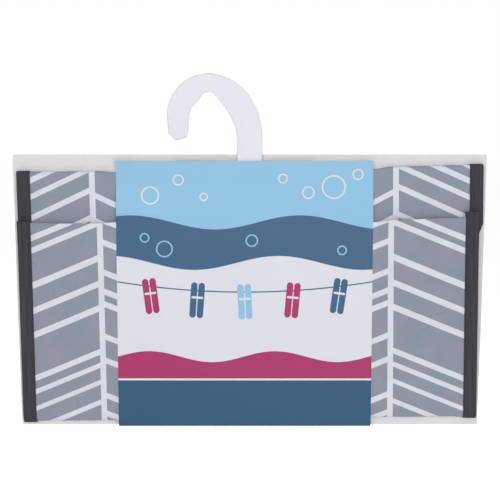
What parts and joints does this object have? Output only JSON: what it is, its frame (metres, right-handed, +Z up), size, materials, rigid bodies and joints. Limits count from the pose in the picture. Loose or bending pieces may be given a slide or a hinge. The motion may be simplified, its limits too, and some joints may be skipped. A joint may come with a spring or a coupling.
{
  "type": "peg bag",
  "caption": "Cloth peg bag with bound edges, hinged flap and moulded hanging hook, folded once onto a backing card behind a swing-down card band.",
  "frame": {"origin": "where a line or rail seats in the notch of the hook, in the middle of the hanger's thickness", "axes": "+X to the right seen from the front, +Y from the front of the pack to its back, +Z up along the hanger's shank"},
  "size_m": [0.3364, 0.0101, 0.2551],
  "materials": {
    "printed_cloth": "coated polyester with a printed white herringbone",
    "binding_tape": "dark woven binding tape, sewn on",
    "moulded_plastic": "satin moulded plastic",
    "pale_board": "uncoated pale carton board",
    "printed_board": "coated carton board with a plain printed design",
    "glue": "set hot-melt glue"
  },
  "bodies": {
    "bag": {"hanger": "moulded_plastic", "top_fold": "printed_cloth", "back_panel_upper": "printed_cloth", "front_panel_upper": "printed_cloth", "mouth_hem": "printed_cloth", "back_fold": "printed_cloth", "front_fold": "printed_cloth", "side_binding_left_upper": "binding_tape", "side_binding_right_upper": "binding_tape", "side_binding_left_fold": "binding_tape", "side_binding_right_fold": "binding_tape"},
    "flap": {"flap_panel": "printed_cloth", "flap_binding": "binding_tape"},
    "lower_half": {"back_panel_lower": "printed_cloth", "front_panel_lower": "printed_cloth", "bottom_fold": "printed_cloth", "side_binding_left_lower": "binding_tape", "side_binding_right_lower": "binding_tape"},
    "front_card": {"front_card": "printed_board", "glue_bead_left": "glue", "glue_bead_right": "glue"},
    "backing_card": {"backing_card": "pale_board"}
  },
  "joints": [
    {"name": "card_open", "type": "hinge", "parent": "bag", "child": "front_card", "pos_m": [0.029, 0.00328, -0.2418], "axis": [1, 0, 0], "range_deg": [0, 178]},
    {"name": "half_unfold", "type": "hinge", "parent": "bag", "child": "lower_half", "pos_m": [0.029, -0.00178, -0.234], "axis": [1, 0, 0], "range_deg": [0, 178], "deforming": ["back_fold", "front_fold", "side_binding_left_fold", "side_binding_right_fold"]},
    {"name": "flap_open", "type": "hinge", "parent": "bag", "child": "flap", "pos_m": [0.029, -0.00178, -0.05643], "axis": [-1, 0, 0], "range_deg": [0, 116]},
    {"name": "card_off", "type": "slide", "parent": "bag", "child": "backing_card", "axis": [0, 1, 0], "range_m": [0, 0.2]}
  ],
  "couplings": [
    {"joint": "half_unfold", "follows": "card_open", "ratio": 1},
    {"joint": "flap_open", "follows": "card_open", "ratio": 0.65}
  ]
}
